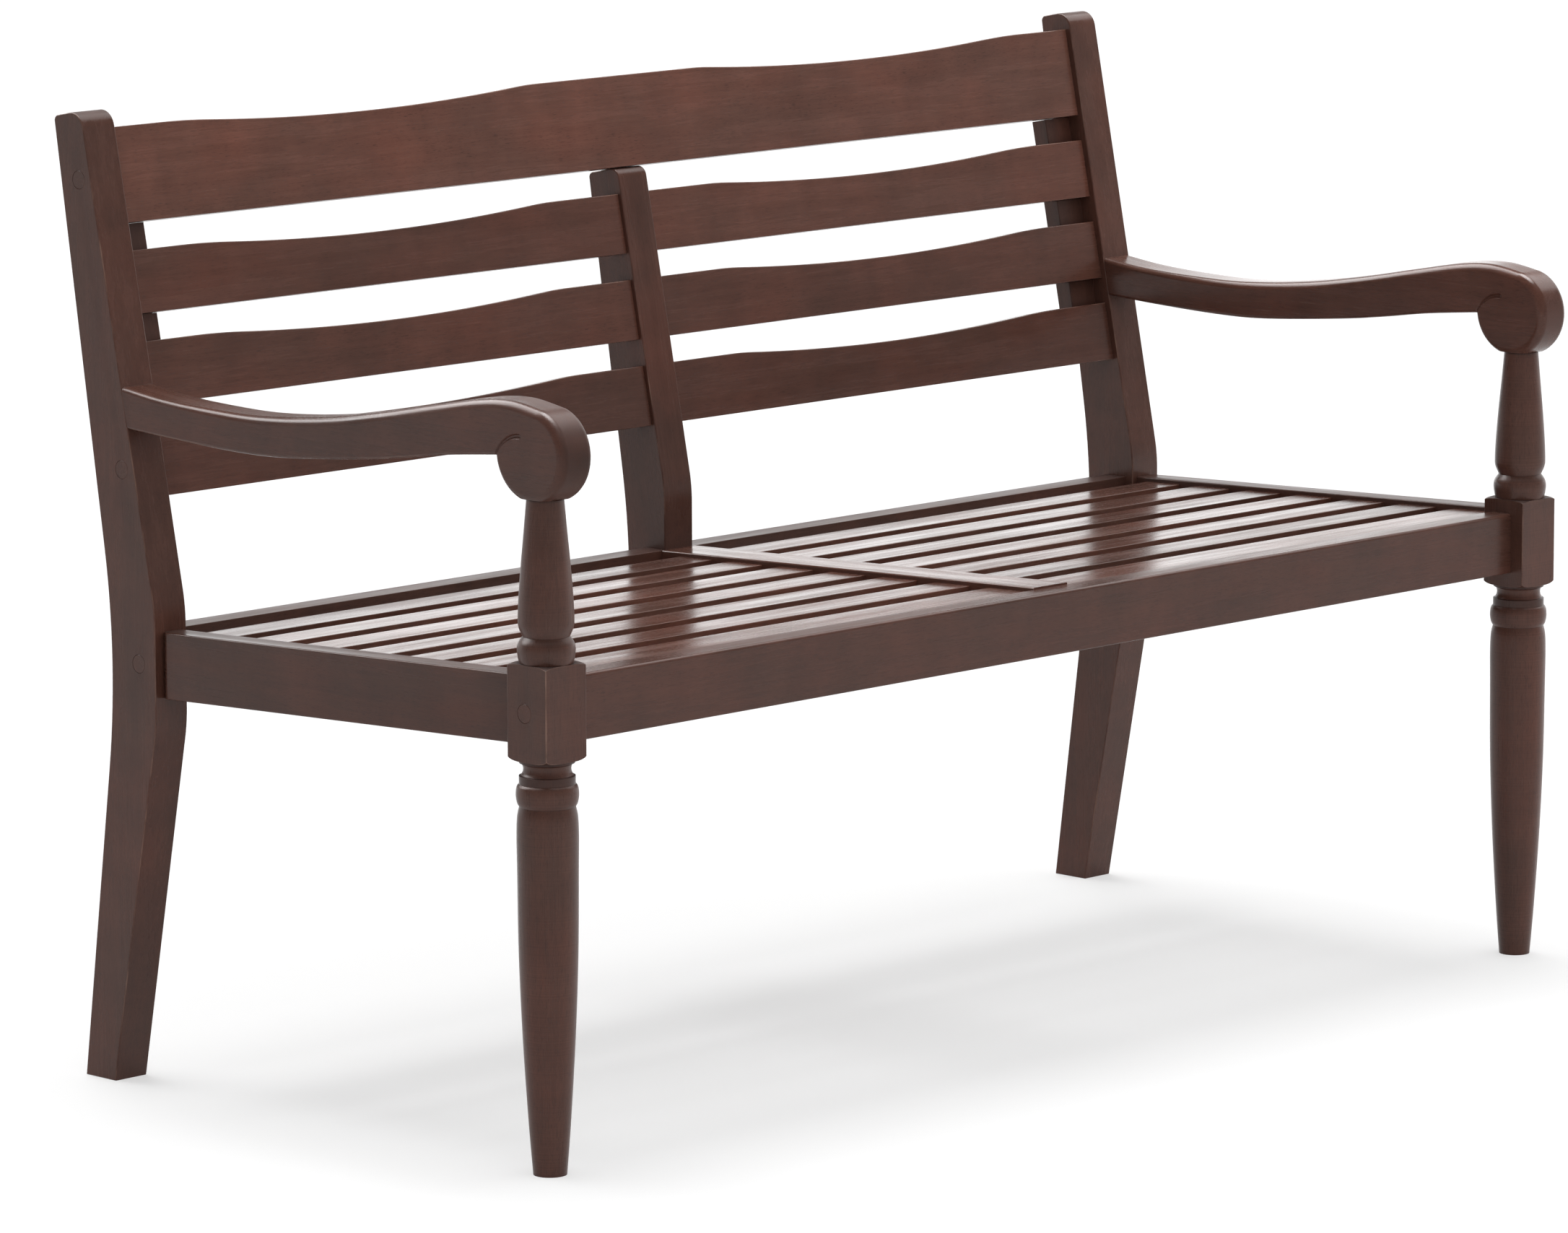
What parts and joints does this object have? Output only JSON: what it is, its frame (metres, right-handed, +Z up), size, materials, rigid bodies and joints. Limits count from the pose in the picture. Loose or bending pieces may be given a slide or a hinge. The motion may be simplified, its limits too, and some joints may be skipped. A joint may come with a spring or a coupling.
{
  "type": "deacons bench",
  "caption": "Slatted wooden bench with turned front posts, scrolled arms, a pitched seat of slats and a raked back of dipped boards either side of a centre post.",
  "frame": {"origin": "on the floor, under the middle of the bench's box", "axes": "+X to the right seen from the front, +Y to the back, +Z up"},
  "size_m": [1.3472, 0.649, 0.8738],
  "materials": {
    "stained_hardwood": "dark red-brown stain, satin",
    "stained_end_grain_plug": "dark red-brown stain, satin",
    "zinc_plated_steel": "plated"
  },
  "bodies": {
    "root": {"front_post_left": "stained_hardwood", "back_post_left": "stained_hardwood", "arm_left": "stained_hardwood", "side_rail_left": "stained_hardwood", "side_cleat_left": "stained_hardwood", "divider_cleat_left": "stained_hardwood", "back_batten_left": "stained_hardwood", "seat_slat_left_1": "stained_hardwood", "seat_slat_left_2": "stained_hardwood", "seat_slat_left_3": "stained_hardwood", "seat_slat_left_4": "stained_hardwood", "seat_slat_left_5": "stained_hardwood", "seat_slat_left_6": "stained_hardwood", "seat_slat_left_7": "stained_hardwood", "back_slat_left_1": "stained_hardwood", "back_slat_left_2": "stained_hardwood", "back_slat_left_3": "stained_hardwood", "front_post_right": "stained_hardwood", "back_post_right": "stained_hardwood", "arm_right": "stained_hardwood", "side_rail_right": "stained_hardwood", "side_cleat_right": "stained_hardwood", "divider_cleat_right": "stained_hardwood", "back_batten_right": "stained_hardwood", "seat_slat_right_1": "stained_hardwood", "seat_slat_right_2": "stained_hardwood", "seat_slat_right_3": "stained_hardwood", "seat_slat_right_4": "stained_hardwood", "seat_slat_right_5": "stained_hardwood", "seat_slat_right_6": "stained_hardwood", "seat_slat_right_7": "stained_hardwood", "back_slat_right_1": "stained_hardwood", "back_slat_right_2": "stained_hardwood", "back_slat_right_3": "stained_hardwood", "front_rail": "stained_hardwood", "back_rail": "stained_hardwood", "seat_divider": "stained_hardwood", "back_centre_post": "stained_hardwood", "crest_rail": "stained_hardwood", "front_rail_plug_left": "stained_end_grain_plug", "front_rail_bolt_left": "zinc_plated_steel", "front_rail_plug_right": "stained_end_grain_plug", "front_rail_bolt_right": "zinc_plated_steel", "back_rail_plug_left": "stained_end_grain_plug", "back_rail_bolt_left": "zinc_plated_steel", "back_rail_plug_right": "stained_end_grain_plug", "back_rail_bolt_right": "zinc_plated_steel", "back_slat_plug_left": "stained_end_grain_plug", "back_slat_bolt_left": "zinc_plated_steel", "back_slat_plug_right": "stained_end_grain_plug", "back_slat_bolt_right": "zinc_plated_steel", "crest_rail_plug_left": "stained_end_grain_plug", "crest_rail_bolt_left": "zinc_plated_steel", "crest_rail_plug_right": "stained_end_grain_plug", "crest_rail_bolt_right": "zinc_plated_steel"}
  },
  "joints": []
}
